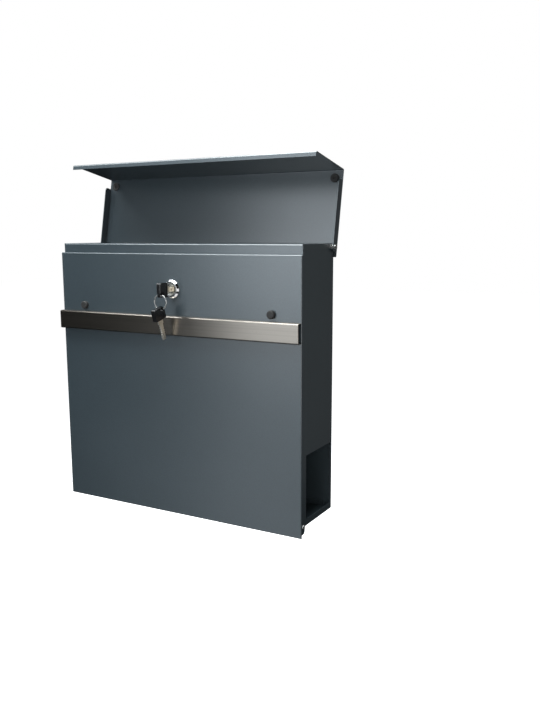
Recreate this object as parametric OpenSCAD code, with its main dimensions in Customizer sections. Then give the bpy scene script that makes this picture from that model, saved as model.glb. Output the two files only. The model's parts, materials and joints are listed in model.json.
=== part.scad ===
// Wall mailbox with a lifting lid, a drop-down front door, a newspaper
// slot through its foot and a cam lock with two keys. Millimetres.
// X runs to the right, +Y into the wall, Z up. The wall is the plane Y = 0.

/* [Body] */
// Width over the side walls
body_w = 366; // [340:1:420]
// Height of the body
body_h = 342; // [330:1:380]
// Depth of the body, back face to front rail
body_d = 84; // [80:1:90]
// Sheet thickness
sheet = 1; // [0.8:0.1:1.2]
// Height of the front rail above the door opening
rail_h = 30; // [24:1:34]
// Height of the newspaper slot
slot_h = 81; // [60:1:84]

/* [Lid] */
// How much wider the lid is than the body
lid_wider = 6.4; // [6:0.1:7]
// How far the closed lid reaches past the front rail
lid_past = 18.4; // [18:0.1:20]
// Height of the front flap
flap_h = 81; // [79:0.5:82]
// Return lip along the lower edge of the flap
lip = 6.2; // [5:0.2:6.2]
// How far the open lid leans back past upright, degrees
lid_lean = 11; // [0:1:11]

/* [Door] */
// How much wider the door is than the body
door_wider = 3.4; // [3:0.1:3.6]
// How far the door hangs below the body
door_over = 12.2; // [11:0.1:13]
// How far the door stands in front of the rail
door_proud = 5.2; // [4.8:0.1:5.4]
// Height of the trim strip
trim_h = 24.3; // [18:0.1:26]
// How far the trim strip stands proud of the door
trim_proud = 8.2; // [5:0.1:8.4]

/* [Wall fixing] */
// Spacing of the wall holes across
hole_dx = 280; // [200:5:300]
// Spacing of the wall holes up and down
hole_dz = 180; // [120:5:180]
// Diameter of the wall holes
hole_d = 6; // [5:0.5:7]
// Gap between the back panel and the wall
standoff = 12; // [11.5:0.5:14]

/* [Lock and keys] */
// Distance of the lock below the top edge of the body
lock_drop = 56.8; // [54:0.1:60]
// Diameter of the key ring, middle of the wire
ring_d = 18; // [17:0.5:20]
// How far the spare key is turned on the ring, degrees
spare_turn = 4; // [0:1:10]
// How far the spare key hangs askew from its corner eye, degrees
spare_tilt = 16.5; // [12:0.5:18]

/* [Hidden] */
$fn = 64;

PAINT = "#3b444b";
STEEL = "#b9bcbf";
ZINC = "#a4a6a5";
CHROME = "#d7dade";
RUBBER = "#1c1c1d";
NICKEL = "#b3a98f";
BOW = "#17181a";

fit = 0.08;          // running clearance on a hinge pin, radial
apart = 0.3;         // gap left between moving pieces
past = 1;            // how far a cutter runs past the face it cuts
bw = body_w / 2;     // half widths
lw = bw + lid_wider / 2;
dw = bw + door_wider / 2;
front = -(body_d + standoff);   // rail's front plane
crown = 130;                    // top edge of the body above the hole centre

flange = 10;         // inward flanges of the sheet body
rail_top = 11;       // returns of the front rail
rail_foot = 7;
strip_front = 10.5;  // metal left round the newspaper slot
strip_back = 3.5;
sill = 8;
floor_z = -(body_h - sill - slot_h);   // underside of the letter floor

lid_y = body_d - 4.1;   // lid hinge line
lid_z = -4.1;
lid_reach = lid_y + lid_past;   // hinge line to the front fold
lid_rise = 8.2;         // hinge line to the outer face of the lid
lid_tail = 12;          // lid behind the hinge line
hook = 1.5;             // curl along the rear edge of the lid
flank = 12;             // depth of the lid's side flanges
flank_gap = 14;         // fold to the start of the side flange
bend = 2;               // outer radius of the folds
lid_pin = 1.75;         // radius of the lid's pivot screws

door_y = -0.4;          // door hinge line
door_z = -(body_h - 2.6);
door_top = -12.2;
door_foot = -(body_h + door_over);
door_h = door_top - door_foot;
door_pin = 1.5;         // radius of the door's pivot screws
door_bend = 1.6;
tab_y = 4.4;            // rear edge, foot and corner of the door's hinge tab
tab_foot = door_z - 10.1;
tab_r = 4;
ear_r = 2.6;            // ear of the side wall at the door hinge

trim_top = -90.7;
trim_len = body_w + 2;
stud_x = [-150, -50, 50, 150];
bumper_x = 144.5;
bumper_z = -82.4;
bumper_h = 4.5;
bumper_stem = 2;
stop_x = lw - 11;       // rubber wall stops in the lid
stop_y = 11;

barrel_r = 9.4;
rim_r = 8.6;            // front rim of the barrel
rim_proud = 2.6;
plug_r = 7.4;
plug_proud = -0.4;      // the plug's face lies just behind the door's face
boss_r = 5.3;           // raised disc of the plug round the keyway
boss_proud = 1.6;
ring_r = 12;            // trim ring of the lock
ring_proud = 3.2;
barrel_back = 13.6;     // rear end of the lock barrel
cam_y = 14.2;           // front face of the cam
cam_t = 2;
cam_len = 38;
key_t = 2.2;            // key blade: thickness, length, half height
key_len = 26;
key_h = 2.9;
shoulder = 4.2;         // half height of the blade's shoulder
shoulder_len = 5;
rooted = 2;             // length of blade set in the bow
bow_t = 6.4;            // bow: thickness, depth, height
bow_y = 16;
bow_z = 18.4;
bow_gap = 8.4;          // bow to the face of the lock
bow_front = -door_proud - ring_proud - bow_gap - bow_y;
eye = 2.3;              // eye of a bow: radius, distance from its edges
eye_in = 3.7;
eye_t = 3;              // thickness of the bow round its eye
wire_r = 1;             // flat wire of the ring: across and along its axis
wire_y = 1.8;

module at_front() translate([0, front, crown]) children();

// a box given by its two corners
module slab(a, b) translate(a) cube(b - a);

// a rectangle with round corners, from corner a to corner b
module round_rect(a, b, r) {
    translate([a[0] + r, a[1]]) square([b[0] - a[0] - 2 * r, b[1] - a[1]]);
    translate([a[0], a[1] + r]) square([b[0] - a[0], b[1] - a[1] - 2 * r]);
    for (x = [a[0] + r, b[0] - r], y = [a[1] + r, b[1] - r]) translate([x, y]) circle(r);
}

// sheet folded round a rectangle, all four sides
module fold_ring(a, b, r) {
    difference() {
        round_rect(a, b, r);
        round_rect(a + [sheet, sheet], b - [sheet, sheet], r - sheet);
    }
}

// a profile drawn as (Y, Z) and drawn out along X between -w and w
module along_x(w) rotate([90, 0, 90]) translate([0, 0, -w]) linear_extrude(2 * w) children();

// a cylinder along X from x0 to x1
module rod_x(r, x0, x1) translate([x0, 0, 0]) rotate([0, 90, 0]) cylinder(r = r, h = x1 - x0);

// a cylinder along Y from y0 to y1
module rod_y(r, y0, y1) translate([0, y1, 0]) rotate([90, 0, 0]) cylinder(r = r, h = y1 - y0);

// the same piece on both sides
module both() {
    children();
    mirror([1, 0, 0]) children();
}

// ---------- body ----------

module at_wall_holes() for (x = [-1, 1], z = [-1, 1])
    translate([x * hole_dx / 2, 0, z * hole_dz / 2 - crown]) children();

module back_panel() {
    color(PAINT) at_front() difference() {
        slab([-bw, body_d - sheet, -body_h], [bw, body_d, 0]);
        at_wall_holes() rod_y(hole_d / 2, body_d - sheet - past, body_d + past);
    }
}

// sleeves that hold the body off the wall
spacer_r = 8;
module wall_spacers() {
    color(RUBBER) at_front() at_wall_holes() difference() {
        rod_y(spacer_r, body_d, body_d + standoff);
        rod_y(hole_d / 2, body_d - past, body_d + standoff + past);
    }
}

module side_wall() {
    color(PAINT) at_front() difference() {
        union() {
            slab([bw - sheet, 0, -body_h], [bw, body_d - sheet, 0]);
            translate([0, door_y, door_z]) rod_x(ear_r, bw - sheet, bw);
            slab([bw - flange, 0, -body_h + flange], [bw - sheet, sheet, -rail_h - apart]);
            slab([bw - flange, body_d - 2 * sheet, floor_z + sheet],
                [bw - sheet, body_d - sheet, -1.2 * flange]);
            slab([bw - flange, rail_top + apart, -sheet], [bw - sheet, body_d - sheet, 0]);
        }
        slab([bw - 2 * sheet, strip_front, -body_h + sill],
            [bw + past, body_d - strip_back, floor_z]);
        translate([0, lid_y, lid_z]) rod_x(lid_pin, bw - 2 * sheet, bw + past);
        translate([0, door_y, door_z]) rod_x(door_pin, bw - 2 * sheet, bw + past);
    }
}
module right_side() side_wall();
module left_side() mirror([1, 0, 0]) side_wall();

module front_rail() {
    color(PAINT) at_front() along_x(bw - sheet) difference() {
        fold_ring([0, -rail_h], [rail_top + bend, 0], bend);
        translate([rail_top, -rail_h - past]) square([rail_top, rail_h + 2 * past]);
        translate([rail_foot, -rail_h - past]) square([rail_top, rail_h / 2]);
    }
}

lip_up = 8;
module letter_floor() {
    w = bw - sheet;
    color(PAINT) at_front() {
        slab([-w, sheet, floor_z], [w, body_d - sheet, floor_z + sheet]);
        slab([-w + flange, sheet, floor_z + sheet], [w - flange, 2 * sheet, floor_z + lip_up]);
        both() slab([w - sheet, 2 * sheet, floor_z + sheet], [w, body_d - 2 * sheet, floor_z + lip_up]);
    }
}

nut_room = 12;   // the tray is cut away round the hinge nuts
module base_tray() {
    w = bw - sheet;
    color(PAINT) at_front() {
        slab([-w + nut_room / 2, 0, -body_h], [w - nut_room / 2, body_d - sheet, -body_h + sheet]);
        both() slab([w - nut_room / 2, nut_room / 2, -body_h], [w, body_d - sheet, -body_h + sheet]);
        slab([-w + flange, 0, -body_h + sheet], [w - flange, sheet, -body_h + sill]);
        slab([-w + flange, body_d - 2 * sheet, -body_h + sheet],
            [w - flange, body_d - sheet, -body_h + sill]);
        both() slab([w - sheet, nut_room, -body_h + sheet], [w, body_d - 2 * sheet, -body_h + sill - 1]);
    }
}

// ---------- hinge screws ----------

// pan-head screw along X; the head sits outside x1, the shank starts at x0
module pan_screw(r, x0, x1) {
    head_r = 1.9 * r;
    head_h = 1.2 * r;
    recess = 0.9 * r;
    color(STEEL) {
        rod_x(r, x0, x1);
        difference() {
            union() {
                rod_x(head_r, x1, x1 + 0.6 * head_h);
                translate([x1 + 0.6 * head_h, 0, 0]) rotate([0, 90, 0])
                    rotate_extrude() intersection() {
                        translate([0, -1.6 * head_r]) circle(1.6 * head_r + 0.4 * head_h);
                        square([head_r, head_h]);
                    }
            }
            for (turn = [0, 90]) rotate([turn, 0, 0])
                slab([x1 + 0.35 * head_h, -recess, -0.16 * head_r], [x1 + 2 * head_h, recess, 0.16 * head_r]);
        }
    }
}

// flat ring along X between x0 and x1
module washer_x(r_in, r_out, x0, x1) {
    difference() {
        rod_x(r_out, x0, x1);
        rod_x(r_in, x0 - past, x1 + past);
    }
}

// hexagon nut along X between x0 and x1
module nut_x(r_in, across, x0, x1) {
    difference() {
        translate([x0, 0, 0]) rotate([0, 90, 0]) cylinder(d = across / cos(30), h = x1 - x0, $fn = 6);
        rod_x(r_in, x0 - past, x1 + past);
    }
}

spring_t = 1;    // spring washer under the lid screw's head
slack = 0.2;     // side play between a flange and the washers next to it
lid_head = lw + slack + spring_t;
lid_nut = 2.8;
door_head = dw + apart;
door_nut = 2.4;

module on_lid_line() at_front() translate([0, lid_y, lid_z]) both() children();
module on_door_line() at_front() translate([0, door_y, door_z]) both() children();

module lid_pivot_screws() on_lid_line() pan_screw(lid_pin, bw - sheet - lid_nut - 1, lid_head);
module lid_pivot_spacers() on_lid_line() {
    color(STEEL) washer_x(lid_pin, 3.1, lw + slack, lid_head);
    color(ZINC) washer_x(lid_pin, 3.6, bw, lw - sheet - slack);
}
module lid_pivot_nuts() on_lid_line() color(ZINC) nut_x(lid_pin, 5.5, bw - sheet - lid_nut, bw - sheet);

module door_pivot_screws() on_door_line() pan_screw(door_pin, bw - sheet - door_nut - 1, door_head);
module door_pivot_spacers() on_door_line() color(ZINC) washer_x(door_pin, 3, bw, dw - sheet - slack);
module door_pivot_nuts() on_door_line()
    color(ZINC) nut_x(door_pin, 5.5, bw - sheet - door_nut, bw - sheet);

// ---------- lid ----------

// places the lid's own frame (hinge line, lid level) in the open pose
module open_lid() at_front() translate([0, lid_y, lid_z]) rotate([-90 - lid_lean, 0, 0]) children();

module lid_profile() {
    difference() {
        fold_ring([-lid_reach, lid_rise - flap_h], [lid_tail, lid_rise], bend);
        translate([-lid_reach + lip, lid_rise - flap_h - past])
            square([lid_reach + lid_tail, flap_h - hook + past]);
    }
}

// side flange of the lid, rounded round the pivot
flank_end = 6;
module flank_profile() {
    r = flank - lid_rise;
    y0 = -lid_reach + flank_gap;
    difference() {
        round_rect([y0, lid_rise - flank], [flank_end, lid_rise + r], r);
        translate([y0 - past, lid_rise - sheet]) square([lid_reach, flank]);
        circle(lid_pin + fit);
    }
}

stop_stem = 3;
module lid_panel() {
    color(PAINT) open_lid() difference() {
        union() {
            along_x(lw) lid_profile();
            both() translate([lw - sheet / 2, 0, 0]) along_x(sheet / 2) flank_profile();
        }
        both() translate([stop_x, -lid_reach + stop_y, 0])
            cylinder(r = stop_stem, h = lid_rise + past);
    }
}

// rubber stop through the lid: tail inside, dome outside to meet the wall
module lid_wall_stops() {
    tail_r = 5.5;
    tail_h = 1.8;
    dome_h = 3.5;
    color(RUBBER) open_lid() both() translate([stop_x, -lid_reach + stop_y, lid_rise]) {
        translate([0, 0, -sheet - tail_h]) difference() {
            cylinder(r = tail_r, h = tail_h);
            translate([0, 0, -past]) cylinder(r = tail_r / 3, h = tail_h / 2 + past);
        }
        translate([0, 0, -sheet]) cylinder(r = stop_stem, h = sheet);
        rotate_extrude() intersection() {
            translate([0, dome_h - 2 * tail_r]) circle(2 * tail_r);
            square([tail_r, dome_h]);
        }
    }
}

// ---------- door ----------

// solid with the door's folded outline; inset shrinks it by the sheet
module door_block(inset) {
    y1 = inset > 0 ? past : 0;
    intersection() {
        translate([0, 0, door_foot - past]) linear_extrude(door_h + 2 * past)
            round_rect([-dw + inset, -door_proud + inset], [dw - inset, y1 + door_bend], door_bend - inset);
        along_x(dw) round_rect([-door_proud + inset, door_foot + inset],
            [y1 + door_bend, door_top - inset], door_bend - inset);
    }
}

module door_panel() {
    color(PAINT) at_front() difference() {
        union() {
            difference() {
                door_block(0);
                door_block(sheet);
                slab([-dw - past, 0, door_foot - past], [dw + past, body_d, door_top + past]);
                slab([-dw + sheet, -door_proud + door_bend, door_foot - past],
                    [dw - sheet, past, door_foot + 2 * sheet]);
                both() slab([bw - sheet, -door_proud + door_bend, door_foot - past],
                    [dw + past, past, tab_foot]);
            }
            both() translate([dw - sheet / 2, 0, 0]) along_x(sheet / 2) difference() {
                round_rect([-door_proud, tab_foot], [tab_y, tab_foot + 2 * tab_y + 2 * tab_r], tab_r);
                translate([-2 * door_proud, tab_foot - past]) square([2 * door_proud - door_bend, 6 * tab_r]);
            }
        }
        both() translate([0, door_y, door_z]) rod_x(door_pin + fit, dw - 2 * sheet, dw + past);
        translate([0, 0, -lock_drop]) rod_y(barrel_r, -door_proud - past, 0);
        for (x = stud_x) translate([x, 0, trim_top - trim_h / 2]) rod_y(stud_r, -door_proud - past, 0);
        both() translate([bumper_x, 0, bumper_z]) rod_y(bumper_stem, -door_proud - past, 0);
    }
}

module trim_strip() {
    color(CHROME) at_front() along_x(trim_len / 2) difference() {
        fold_ring([-door_proud - trim_proud, trim_top - trim_h], [-door_proud + bend, trim_top], bend);
        translate([-door_proud, trim_top - trim_h - past]) square([2 * bend, trim_h + 2 * past]);
    }
}

stud_r = 2;
nut_across = 7;
nut_back = 1.8;    // face of the nut in front of the rail
module on_studs() at_front() for (x = stud_x) translate([x, 0, trim_top - trim_h / 2]) children();
module trim_studs() color(STEEL) on_studs()
    rod_y(stud_r, -door_proud - trim_proud + sheet, 2 - nut_back);
module trim_nuts() color(ZINC) on_studs() difference() {
    rotate([90, 0, 0]) translate([0, 0, nut_back])
        cylinder(d = nut_across / cos(30), h = door_proud - sheet - nut_back, $fn = 6);
    rod_y(stud_r, -door_proud, past);
}

// rubber buffer with a stem through the door
module door_bumpers() {
    r = 5.2;
    edge = 1.5;          // rounding of the buffer's front edge
    tail = [3.4, 1.2];   // radius and thickness of the button behind the door
    color(RUBBER) at_front() both() translate([bumper_x, 0, bumper_z]) {
        rod_y(bumper_stem, -door_proud, -door_proud + sheet);
        rod_y(tail[0], -door_proud + sheet, -door_proud + sheet + tail[1]);
        translate([0, -door_proud, 0]) rotate([90, 0, 0]) rotate_extrude() {
            square([r, bumper_h - edge]);
            square([r - edge, bumper_h]);
            translate([r - edge, bumper_h - edge]) circle(edge);
        }
    }
}

// ---------- lock ----------

module on_lock() at_front() translate([0, 0, -lock_drop]) children();

// slot for the key's blade, standing upright
module keyway(y0, y1) slab([-key_t / 2 - 0.1, y0, -key_h - 0.1], [key_t / 2 + 0.1, y1, key_h + 0.1]);

module lock_ring() {
    hole = rim_r + apart;
    color(CHROME) on_lock() translate([0, -door_proud, 0]) rotate([90, 0, 0]) rotate_extrude()
        polygon([[hole, 0], [ring_r, 0], [ring_r, 0.9], [ring_r - 2, ring_proud],
            [hole + apart, ring_proud], [hole, ring_proud - apart]]);
}

module lock_barrel() {
    color(ZINC) on_lock() difference() {
        union() {
            rod_y(barrel_r, -door_proud, barrel_back);
            rod_y(rim_r, -door_proud - rim_proud, -door_proud);
        }
        rod_y(plug_r + fit, -door_proud - ring_proud, barrel_back + past);
    }
}

module lock_nut() {
    across = 23;
    thick = 4;
    color(ZINC) on_lock() difference() {
        translate([0, -door_proud + sheet + thick, 0]) rotate([90, 0, 0])
            cylinder(d = across / cos(30), h = thick, $fn = 6);
        rod_y(barrel_r, -door_proud, past);
    }
}

square_w = 7;    // square tenon that carries the cam
screw_r = 1.5;
module lock_plug() {
    color(ZINC) on_lock() difference() {
        union() {
            rod_y(plug_r, -door_proud - plug_proud, barrel_back + apart);
            rod_y(boss_r, -door_proud - boss_proud, 0);
            slab([-square_w / 2, barrel_back, -square_w / 2], [square_w / 2, cam_y + cam_t, square_w / 2]);
        }
        keyway(-door_proud - boss_proud - past, bow_front + bow_y + key_len + fit);
        rod_y(screw_r, cam_y, cam_y + cam_t + past);
    }
}

module cam() {
    w = 16;
    color(ZINC) on_lock() difference() {
        union() {
            rod_y(w / 2, cam_y, cam_y + cam_t);
            slab([0, cam_y, -w / 2], [cam_len - w / 2, cam_y + cam_t, w / 2]);
            translate([cam_len - w / 2, 0, 0]) rod_y(w / 2, cam_y, cam_y + cam_t);
        }
        slab([-square_w / 2, cam_y - past, -square_w / 2],
            [square_w / 2, cam_y + cam_t + past, square_w / 2]);
    }
}

module cam_screw() {
    washer = [5.6, 0.8];      // radius, thickness
    head = [3.2, 2];
    cross = [1.8, 1.2, 0.4];  // half length, depth, half width
    top = washer[1] + head[1];
    color(STEEL) on_lock() translate([0, cam_y + cam_t, 0]) difference() {
        union() {
            rod_y(screw_r, -cam_t, 0);
            rod_y(washer[0], 0, washer[1]);
            rod_y(head[0], washer[1], top);
        }
        for (turn = [0, 90]) rotate([0, turn, 0])
            slab([-cross[0], top - cross[1], -cross[2]], [cross[0], top + past, cross[2]]);
    }
}

// ---------- keys ----------

// key drawn in its own frame: blade towards +Y, bow in the YZ plane,
// the eye's centre at the origin
module in_key() translate([0, -eye_in, bow_z / 2 - eye_in]) children();

// blade from the bow's face: wide shoulder, cut edge, forked tip
module blade() {
    cut = [0.8, 1.4, 1, 1.6, 1.1];   // size of each notch
    first = 9;
    pitch = 3;
    groove = 0.5;
    fork = 8;                        // length of the split in the tip
    tip = [2, 0.7];                  // step at the tip: length, height
    color(NICKEL) in_key() translate([0, bow_y, 0]) difference() {
        union() {
            slab([-key_t / 2, -rooted, -shoulder], [key_t / 2, shoulder_len, shoulder]);
            slab([-key_t / 2, 0, -key_h], [key_t / 2, key_len - tip[0], key_h]);
            slab([-key_t / 2, 0, -key_h + tip[1]], [key_t / 2, key_len, key_h - tip[1]]);
        }
        for (i = [0 : len(cut) - 1], z = [-1, 1])
            translate([0, first + i * pitch, z * key_h]) rotate([45, 0, 0])
                cube([2 * key_t, cut[i], cut[i]], center = true);
        both() slab([key_t / 2 - groove, past, -groove], [key_t, key_len + past, groove]);
        slab([-key_t, key_len - fork, -groove], [key_t, key_len + past, groove]);
    }
}

// plastic bow with a shallow panel and an eye in its lower front corner
module bow() {
    r = 3;
    edge = 1.4;
    recess = 0.5;
    panel = [5.7, 10.8];   // depth and height of the recessed panel
    panel_end = bow_y - 2.4;
    color(BOW) in_key() difference() {
        intersection() {
            along_x(bow_t / 2) round_rect([0, -bow_z / 2], [bow_y, bow_z / 2], r);
            translate([0, 0, -bow_z]) linear_extrude(2 * bow_z)
                round_rect([-bow_t / 2, 0], [bow_t / 2, bow_y], edge);
        }
        both() slab([bow_t / 2 - recess, panel_end - panel[0], -panel[1] / 2],
            [bow_t, panel_end, panel[1] / 2]);
        translate([0, eye_in, eye_in - bow_z / 2]) {
            both() rod_x(eye_in + apart, eye_t / 2, bow_t);
            rod_x(eye, -bow_t, bow_t);
        }
        slab([-key_t / 2, bow_y - rooted, -shoulder], [key_t / 2, bow_y + past, shoulder]);
    }
}

// the eye of the key in the lock, and the foot of the ring
module at_eye() on_lock() translate([0, bow_front + eye_in, eye_in - bow_z / 2]) children();
module at_spare() at_eye() translate([0, 0, -ring_d]) rotate([0, 0, 180 - spare_turn])
    rotate([-90 - spare_tilt, 0, 0]) children();

module key_blade() at_eye() blade();
module key_bow() at_eye() bow();

module key_ring() color(STEEL) at_eye() translate([0, 0, -ring_d / 2]) difference() {
    rod_y((ring_d + wire_r) / 2, -wire_y / 2, wire_y / 2);
    rod_y((ring_d - wire_r) / 2, -wire_y, wire_y);
}

module spare_key_blade() at_spare() blade();
module spare_key_bow() at_spare() bow();

back_panel();
left_side();
right_side();
front_rail();
letter_floor();
base_tray();
wall_spacers();
lid_pivot_screws();
lid_pivot_spacers();
lid_pivot_nuts();
door_pivot_screws();
door_pivot_spacers();
door_pivot_nuts();
lid_panel();
lid_wall_stops();
door_panel();
trim_strip();
trim_studs();
trim_nuts();
door_bumpers();
lock_ring();
lock_barrel();
lock_nut();
lock_plug();
cam();
cam_screw();
key_blade();
key_bow();
key_ring();
spare_key_blade();
spare_key_bow();
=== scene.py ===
import bpy, bmesh, json, math
from mathutils import Vector, Matrix


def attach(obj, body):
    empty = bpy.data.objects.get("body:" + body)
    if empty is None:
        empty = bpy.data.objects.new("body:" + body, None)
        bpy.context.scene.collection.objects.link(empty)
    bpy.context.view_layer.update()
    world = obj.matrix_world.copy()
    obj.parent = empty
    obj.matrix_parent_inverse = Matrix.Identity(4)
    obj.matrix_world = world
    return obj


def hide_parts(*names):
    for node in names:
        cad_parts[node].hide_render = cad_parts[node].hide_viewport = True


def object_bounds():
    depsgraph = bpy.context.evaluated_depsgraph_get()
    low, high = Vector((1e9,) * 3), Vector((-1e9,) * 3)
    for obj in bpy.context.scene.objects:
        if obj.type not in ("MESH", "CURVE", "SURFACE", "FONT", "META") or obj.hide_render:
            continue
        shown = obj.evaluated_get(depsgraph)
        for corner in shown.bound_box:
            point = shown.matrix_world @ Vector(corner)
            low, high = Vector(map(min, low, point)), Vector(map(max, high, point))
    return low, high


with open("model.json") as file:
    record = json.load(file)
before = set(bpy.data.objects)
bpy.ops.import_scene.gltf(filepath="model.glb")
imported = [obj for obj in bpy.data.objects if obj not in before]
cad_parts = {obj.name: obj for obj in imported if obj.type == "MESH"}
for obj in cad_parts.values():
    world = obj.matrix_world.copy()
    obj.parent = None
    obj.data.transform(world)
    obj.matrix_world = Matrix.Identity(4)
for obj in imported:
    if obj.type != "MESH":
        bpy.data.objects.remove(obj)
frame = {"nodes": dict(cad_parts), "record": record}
cad_low, cad_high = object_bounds()
NODES = frame["nodes"]
SLOT_OF = {part["node"]: part["material_slot"] for part in frame["record"]["subparts"]}
MM = 0.001     # lengths without MM are in metres


# ---------------------------------------------------------------- camera
def look_matrix(place, yaw, pitch, roll):
    """Matrix of a camera at place; yaw turns it to the left, pitch tips it down (radians)."""
    cy, sy, cp, sp = math.cos(yaw), math.sin(yaw), math.cos(pitch), math.sin(pitch)
    ahead = Vector((-sy * cp, cy * cp, -sp))
    right = Vector((cy, sy, 0.0))
    up = right.cross(ahead)
    rolled_right = math.cos(roll) * right + math.sin(roll) * up
    rolled_up = math.cos(roll) * up - math.sin(roll) * right
    matrix = Matrix((rolled_right, rolled_up, -ahead)).transposed().to_4x4()
    matrix.translation = Vector(place)
    return matrix


cam_data = bpy.data.cameras.new("camera")
camera = bpy.data.objects.new("camera", cam_data)
bpy.context.scene.collection.objects.link(camera)
bpy.context.scene.camera = camera
cam_data.lens = 38.57
cam_data.sensor_width = 36.0
cam_data.clip_start = 0.01
cam_data.dof.use_dof = False
camera.matrix_world = look_matrix((0.5847, -0.8941, 0.1420), yaw=0.5091, pitch=0.1623, roll=-0.0036)


# ---------------------------------------------------------------- materials
class Nodes:
    """Small helper that adds shader nodes and links them by name."""

    def __init__(self, name):
        self.mat = bpy.data.materials.new(name)
        self.mat.use_nodes = True
        self.tree = self.mat.node_tree
        self.bsdf = self.tree.nodes["Principled BSDF"]

    def add(self, kind, **settings):
        node = self.tree.nodes.new(kind)
        for key, value in settings.items():
            setattr(node, key, value)
        return node

    def link(self, source, out, node, into):
        self.tree.links.new(source.outputs[out], node.inputs[into])

    def set(self, **values):
        """Values of the surface shader's own sockets."""
        for key, value in values.items():
            self.bsdf.inputs[key.replace("_", " ")].default_value = value

    def coords(self, scale=(1, 1, 1)):
        """Place on the object in metres, stretched by scale."""
        tex = self.add("ShaderNodeTexCoord")
        mapping = self.add("ShaderNodeMapping")
        mapping.inputs["Scale"].default_value = scale
        self.link(tex, "Object", mapping, "Vector")
        return mapping

    def noise(self, coords, scale, detail=2.0, rough=0.5):
        node = self.add("ShaderNodeTexNoise")
        node.inputs["Scale"].default_value = scale
        node.inputs["Detail"].default_value = detail
        node.inputs["Roughness"].default_value = rough
        self.link(coords, "Vector", node, "Vector")
        return node

    def ramp(self, source, out, stops):
        """Colours at the (position, colour) stops, in between them for values in between."""
        node = self.add("ShaderNodeValToRGB")
        elements = node.color_ramp.elements
        while len(elements) > len(stops):
            elements.remove(elements[-1])
        while len(elements) < len(stops):
            elements.new(1.0)
        for element, (position, colour) in zip(elements, stops):
            element.position = position
            element.color = (*colour, 1)
        self.link(source, out, node, "Fac")
        return node

    def span(self, source, out, low, high):
        """The source's 0 to 1 spread over low to high."""
        node = self.add("ShaderNodeMapRange")
        node.inputs["To Min"].default_value = low
        node.inputs["To Max"].default_value = high
        self.link(source, out, node, "Value")
        return node

    def bump(self, source, out, strength, distance, below=None):
        """Bump from the source, on top of the bump below."""
        node = self.add("ShaderNodeBump")
        node.inputs["Strength"].default_value = strength
        node.inputs["Distance"].default_value = distance
        self.link(source, out, node, "Height")
        if below is not None:
            self.link(below, "Normal", node, "Normal")
        return node


def grey(v):
    return (v, v, v)


def powder_coat():
    """Anthracite powder coat: fine orange peel, a touch of sparkle, slight cloudiness."""
    n = Nodes("powder_coat")
    at = n.coords()
    cloud = n.noise(at, 9.0, 3.0)
    grain = n.noise(at, 1400.0, 2.0, 0.6)
    peel = n.noise(at, 420.0, 2.0)
    colour = n.ramp(cloud, "Fac", [(0.3, (0.038, 0.054, 0.064)), (0.7, (0.044, 0.061, 0.072))])
    fleck = n.ramp(grain, "Fac", [(0.35, grey(0.82)), (0.72, grey(1.25))])
    mix = n.add("ShaderNodeMix", data_type="RGBA", blend_type="MULTIPLY")
    mix.inputs["Factor"].default_value = 1.0
    n.link(colour, "Color", mix, "A")
    n.link(fleck, "Color", mix, "B")
    n.link(mix, "Result", n.bsdf, "Base Color")
    rough = n.span(grain, "Fac", 0.28, 0.36)
    n.link(rough, "Result", n.bsdf, "Roughness")
    low = n.bump(peel, "Fac", 0.2, 0.1 * MM)
    high = n.bump(grain, "Fac", 0.25, 0.06 * MM, low)
    n.link(high, "Normal", n.bsdf, "Normal")
    n.set(IOR=1.6, Specular_IOR_Level=1.0)
    return n.mat


def brushed(name, colour, rough, stretch, axis, strength, spread):
    """Metal with fine brush lines, whose noise scale per axis is least where the lines run.

    Highlights smear by spread across the lines, and axis is the one that they turn about.
    """
    n = Nodes(name)
    lines = n.noise(n.coords(stretch), 1.0, 6.0, 0.75)
    hair = n.noise(n.coords(tuple(c * 3.1 for c in stretch)), 1.0, 3.0, 0.6)
    wide = n.noise(n.coords(tuple(c * 0.05 for c in stretch)), 1.0, 3.0)
    tint = n.ramp(lines, "Fac", [(0.3, tuple(c * 0.84 for c in colour)), (0.7, colour)])
    n.link(tint, "Color", n.bsdf, "Base Color")
    r = n.span(hair, "Fac", rough - 0.05, rough + 0.08)
    n.link(r, "Result", n.bsdf, "Roughness")
    low = n.bump(wide, "Fac", 0.03, 0.3 * MM)
    high = n.bump(lines, "Fac", strength, 0.03 * MM, low)
    n.link(high, "Normal", n.bsdf, "Normal")
    turn = n.add("ShaderNodeTangent", direction_type="RADIAL", axis=axis)
    n.link(turn, "Tangent", n.bsdf, "Tangent")
    n.set(Metallic=1.0, Anisotropic=spread)
    return n.mat


def plated(name, colour, rough, smear=0.06, bump=0.08):
    """Plated or polished metal with faint smudges, rougher by smear, and casting texture."""
    n = Nodes(name)
    at = n.coords()
    smudge = n.noise(at, 160.0, 4.0, 0.6)
    tint = n.ramp(smudge, "Fac", [(0.3, tuple(c * 0.86 for c in colour)), (0.65, colour)])
    n.link(tint, "Color", n.bsdf, "Base Color")
    r = n.span(smudge, "Fac", rough, rough + smear)
    n.link(r, "Result", n.bsdf, "Roughness")
    b = n.bump(n.noise(at, 900.0, 3.0), "Fac", bump, 0.05 * MM)
    n.link(b, "Normal", n.bsdf, "Normal")
    n.set(Metallic=1.0)
    return n.mat


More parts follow.
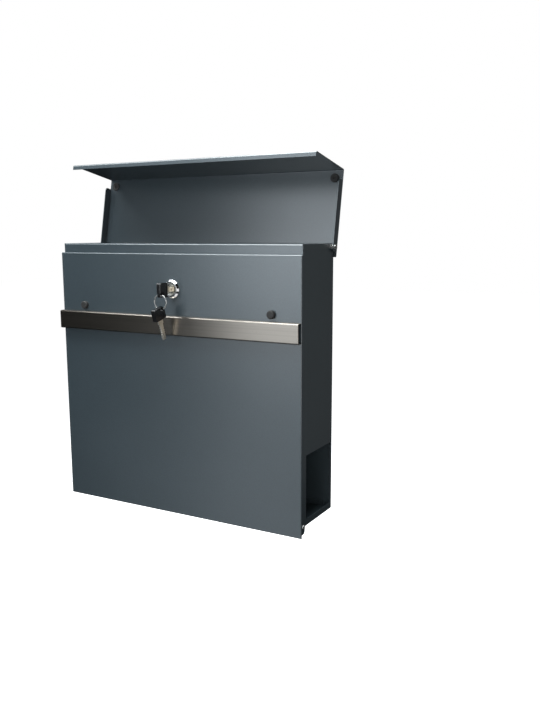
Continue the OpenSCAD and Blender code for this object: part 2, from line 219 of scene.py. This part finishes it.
def soft_black(name, colour, low, high, grain_scale, bump):
    """Rubber or moulded plastic in near black, its roughness between low and high."""
    n = Nodes(name)
    at = n.coords()
    grain = n.noise(at, grain_scale, 3.0, 0.6)
    tint = n.ramp(grain, "Fac", [(0.3, tuple(c * 0.75 for c in colour)), (0.75, colour)])
    n.link(tint, "Color", n.bsdf, "Base Color")
    r = n.span(grain, "Fac", low, high)
    n.link(r, "Result", n.bsdf, "Roughness")
    b = n.bump(grain, "Fac", bump, 0.08 * MM)
    n.link(b, "Normal", n.bsdf, "Normal")
    return n.mat


PAINT = powder_coat()
STRIP = brushed("brushed_stainless", (0.285, 0.255, 0.225), 0.29, (3, 900, 900), "X", 0.25, 0.8)
STEEL = plated("bright_steel", (0.72, 0.71, 0.69), 0.2)
ZINC = plated("dull_zinc", (0.46, 0.465, 0.46), 0.42, 0.1, 0.2)
CHROME = plated("chrome", (0.86, 0.86, 0.87), 0.04, 0.03, 0.01)
NICKEL = plated("nickel_face", (0.66, 0.63, 0.56), 0.22, 0.1, 0.2)
BLADE = brushed("key_nickel", (0.93, 0.88, 0.78), 0.3, (900, 60, 60), "Y", 0.15, 0.3)
RUBBER = soft_black("rubber", (0.030, 0.029, 0.028), 0.5, 0.7, 700.0, 0.3)
BOW = soft_black("bow_plastic", (0.012, 0.012, 0.013), 0.16, 0.28, 500.0, 0.12)

FINISH = {
    "paint": PAINT, "brushed_strip": STRIP, "chrome_ring": CHROME, "steel": STEEL, "zinc": ZINC,
    "lock_face": NICKEL, "rubber": RUBBER, "blade_nickel": BLADE, "bow_plastic": BOW,
}


def soften(obj, width, segments=2):
    """Round a CAD piece's sharp edges a little, without touching its own mesh."""
    weld = obj.modifiers.new("weld", "WELD")
    weld.merge_threshold = 0.002 * MM
    bevel = obj.modifiers.new("edges", "BEVEL")
    bevel.width = width
    bevel.segments = segments
    bevel.limit_method = "ANGLE"
    bevel.angle_limit = math.radians(35)
    bevel.use_clamp_overlap = True
    normals = obj.modifiers.new("normals", "WEIGHTED_NORMAL")
    normals.keep_sharp = True


SHARP = 0.22 * MM                                                # rounding of most edges
ROUNDER = {"bow_plastic": 0.5 * MM, "brushed_strip": 0.45 * MM}  # slots with rounder ones

for name, obj in NODES.items():
    obj.data.materials.clear()
    obj.data.materials.append(FINISH[SLOT_OF[name]])
    if "custom_normal" in obj.data.attributes:
        obj.data.attributes.remove(obj.data.attributes["custom_normal"])
    for poly in obj.data.polygons:
        poly.use_smooth = True
    soften(obj, ROUNDER.get(SLOT_OF[name], SHARP))


# ---------------------------------------------------------------- detail pieces
FRONT, CROWN = -96.0, 130.0     # Y of the rail's front face and Z of the body's top edge, mm
KEY_EYE = Vector((0, FRONT - 29.1, CROWN - 62.3)) * MM     # eye of the key in the lock
LID_HINGE = Vector((0, FRONT + 79.9, CROWN - 4.1)) * MM    # line of the lid's two screws


def new_piece(name, bm, material, body, stands_for):
    """Turn a bmesh into a smooth-shaded piece that rides a body and stands for a CAD node."""
    bmesh.ops.recalc_face_normals(bm, faces=bm.faces)
    data = bpy.data.meshes.new(name)
    bm.to_mesh(data)
    bm.free()
    for poly in data.polygons:
        poly.use_smooth = True
    obj = bpy.data.objects.new(name, data)
    bpy.context.scene.collection.objects.link(obj)
    data.materials.append(material)
    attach(obj, body)
    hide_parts(stands_for)
    return obj


def sweep(bm, frames, section, closed=False):
    """Loft a section of (u, v) points through frames of (place, u axis, v axis)."""
    rings = [[bm.verts.new(place + u * u_axis + v * v_axis) for u, v in section]
             for place, u_axis, v_axis in frames]
    following = rings[1:] + rings[:1] if closed else rings[1:]
    count = len(section)
    for one, two in zip(rings, following):
        for i in range(count):
            j = (i + 1) % count
            bm.faces.new((one[i], one[j], two[j], two[i]))
    if not closed:
        bm.faces.new(rings[0])
        bm.faces.new(rings[-1])


def rounded_box_section(w, h, r, steps=4):
    """Points round a rectangle of w by h with corner radius r, each corner in steps."""
    points = []
    for k, (x, y) in enumerate(((1, 1), (-1, 1), (-1, -1), (1, -1))):
        for i in range(steps + 1):
            a = math.radians(90 * k + 90 * i / steps)
            points.append((x * (w / 2 - r) + r * math.cos(a), y * (h / 2 - r) + r * math.sin(a)))
    return points


def ease(t):
    """Smooth rise from 0 to 1."""
    t = min(1.0, max(0.0, t))
    return t * t * (3 - 2 * t)


def split_ring():
    """Two turns of flat wire side by side, crossing over where the ends meet."""
    bm = bmesh.new()
    radius, pitch = 9.0 * MM, 0.9 * MM      # to the middle of the wire, and turn to turn
    wire = rounded_box_section(1.0 * MM, 0.84 * MM, 0.28 * MM)
    gap, cross = 0.035, 0.03        # in turns: how far the ends stop short, half the crossover
    start = math.radians(200)
    steps = 220
    centre = KEY_EYE - Vector((0, 0, radius))
    frames = []
    for i in range(steps + 1):
        turn = gap + (2 - 2 * gap) * i / steps
        a = start + 2 * math.pi * turn
        out = Vector((math.cos(a), 0, math.sin(a)))
        y = (ease((turn - 1 + cross) / (2 * cross)) - 0.5) * pitch
        frames.append((centre + out * radius + Vector((0, y, 0)), out, Vector((0, 1, 0))))
    sweep(bm, frames, wire)
    new_piece("split_ring", bm, STEEL, "ring", "key_ring")


def washer(bm, side, x, r, edge, steps=48, arc=1.0, rise=0.0):
    """Washer on the lid's hinge line between two x and two radii, its outer edges cut by edge.

    Lengths are in mm; less than a full arc, with a rise along X, makes a split spring washer.
    """
    (x0, x1), (r0, r1), (dx, dr) = x, r, edge
    section = [(a * MM, b * MM) for a, b in (
        (x0, r0), (x0, r1 - dr), (x0 + dx, r1), (x1 - dx, r1), (x1, r1 - dr), (x1, r0))]
    start = 0.55     # where round the hinge the washer begins, in turns
    closed = arc >= 1
    frames = []
    for i in range(steps if closed else steps + 1):
        a = 2 * math.pi * (start + arc * i / steps)
        out = Vector((0, math.cos(a), math.sin(a)))
        lift = Vector((side * rise * MM * (i / steps - 0.5), 0, 0))
        frames.append((LID_HINGE + lift, Vector((side, 0, 0)), out))
    sweep(bm, frames, section, closed)


def hinge_washers():
    """Split spring washer under each lid screw's head and a plain spacer inside the flange."""
    bm = bmesh.new()
    for side in (-1, 1):
        washer(bm, side, (186.44, 187.26), (1.9, 3.1), (0.1, 0.15), steps=56, arc=0.955, rise=0.12)
        washer(bm, side, (183.02, 184.99), (1.78, 3.58), (0.13, 0.13))
    obj = new_piece("hinge_washers", bm, STEEL, "cabinet", "lid_pivot_spacers")
    soften(obj, 0.08 * MM, 1)


split_ring()
hinge_washers()


# ---------------------------------------------------------------- light and floor
def softbox(name, place, target, size, power, colour=(1, 1, 1)):
    """Rectangular area light (size in m, power in W) at place that faces target."""
    data = bpy.data.lights.new(name, "AREA")
    data.shape = "RECTANGLE"
    data.size, data.size_y = size
    data.energy = power
    data.color = colour
    lamp = bpy.data.objects.new(name, data)
    bpy.context.scene.collection.objects.link(lamp)
    lamp.location = place
    lamp.rotation_euler = (Vector(target) - lamp.location).to_track_quat("-Z", "Y").to_euler()
    lamp.visible_camera = False


def round_the_box(azimuth, height, distance):
    """Point seen from the origin at an azimuth (0 in front, positive right) and height angle."""
    turn, lift = math.radians(azimuth), math.radians(height)
    return (distance * math.sin(turn) * math.cos(lift),
            -distance * math.cos(turn) * math.cos(lift), distance * math.sin(lift))


COOL = (0.93, 0.985, 1.0)
BLUE = (0.86, 0.94, 1.0)
WARM = (1.0, 0.985, 0.96)
MIDDLE = (0, 0, 0)
BANK = (0.42, 0.42)             # size of one softbox in the bank on the left
softbox("bank_tall", (-0.25, -1.0, 0.15), MIDDLE, (0.42, 0.9), 1.85, BLUE)
softbox("bank_middle", round_the_box(-14, 10, 1.05), MIDDLE, BANK, 1.0, BLUE)
softbox("bank_high", round_the_box(-14, 35, 1.05), MIDDLE, BANK, 1.2, BLUE)
softbox("bank_low", round_the_box(-14, -28, 1.05), MIDDLE, BANK, 0.42, BLUE)
softbox("bank_left", round_the_box(-32, -28, 1.05), MIDDLE, BANK, 0.12, BLUE)
softbox("overhead", round_the_box(0, 80, 1.05), MIDDLE, (0.9, 0.9), 21.0, COOL)
softbox("overhead_long", (-0.3, -0.12, 1.0), (0, -0.1, 0), (1.4, 0.3), 6.0, COOL)
softbox("behind_right", (0.75, 0.85, 0.05), (0.18, 0, 0), (0.7, 1.2), 0.3, COOL)
softbox("right_card", round_the_box(62, -4, 0.9), MIDDLE, (0.42, 0.42), 0.56)
softbox("high_left", round_the_box(-61, 50, 1.1), (0, -0.1, 0.05), (0.34, 0.34), 4.2, COOL)
softbox("by_camera", round_the_box(29, 3, 1.25), (0, -0.1, 0.03), (0.8, 0.8), 3.0, WARM)
softbox("left_card", round_the_box(-88, 24, 1.0), (0, -0.11, 0.06), (0.4, 0.4), 2.5)
softbox("lower_card", (0.2, -0.3, -0.5), (0, -0.1, 0.07), (0.5, 0.4), 0.6)
softbox("behind", round_the_box(190, 38, 1.5), MIDDLE, (1.0, 1.0), 9.0, COOL)

# White where the camera sees it, next to dark for every other ray.
world = bpy.data.worlds.new("studio")
bpy.context.scene.world = world
world.use_nodes = True
world_nodes, world_links = world.node_tree.nodes, world.node_tree.links
world_nodes.clear()
surface = world_nodes.new("ShaderNodeOutputWorld")
pick = world_nodes.new("ShaderNodeMixShader")
for socket, colour, strength in ((1, (0.9, 0.95, 1, 1), 0.012), (2, (1, 1, 1, 1), 1.0)):
    backdrop = world_nodes.new("ShaderNodeBackground")
    backdrop.inputs["Color"].default_value = colour
    backdrop.inputs["Strength"].default_value = strength
    world_links.new(backdrop.outputs["Background"], pick.inputs[socket])
path = world_nodes.new("ShaderNodeLightPath")
world_links.new(path.outputs["Is Camera Ray"], pick.inputs["Fac"])
world_links.new(pick.outputs["Shader"], surface.inputs["Surface"])

FLOOR_DROP = 0.32               # floor below the mailbox's lowest point
FLOOR_HALF = 8.0
floor_mat = Nodes("pale_floor")
tone = floor_mat.noise(floor_mat.coords(), 3.0, 2.0)
shade = floor_mat.ramp(tone, "Fac", [(0.3, grey(1.0)), (0.7, grey(0.99))])
floor_mat.link(shade, "Color", floor_mat.bsdf, "Base Color")
floor_mat.link(shade, "Color", floor_mat.bsdf, "Emission Color")
floor_mat.set(Roughness=0.8, Emission_Strength=1.0)
bm = bmesh.new()
bmesh.ops.create_grid(bm, x_segments=4, y_segments=4, size=FLOOR_HALF)
mesh = bpy.data.meshes.new("floor")
bm.to_mesh(mesh)
bm.free()
floor = bpy.data.objects.new("floor", mesh)
floor.location = (0, 0, cad_low.z - FLOOR_DROP)
bpy.context.scene.collection.objects.link(floor)
floor.data.materials.append(floor_mat.mat)
floor.visible_diffuse = False
floor.visible_glossy = False

bpy.context.scene.view_settings.view_transform = "Standard"
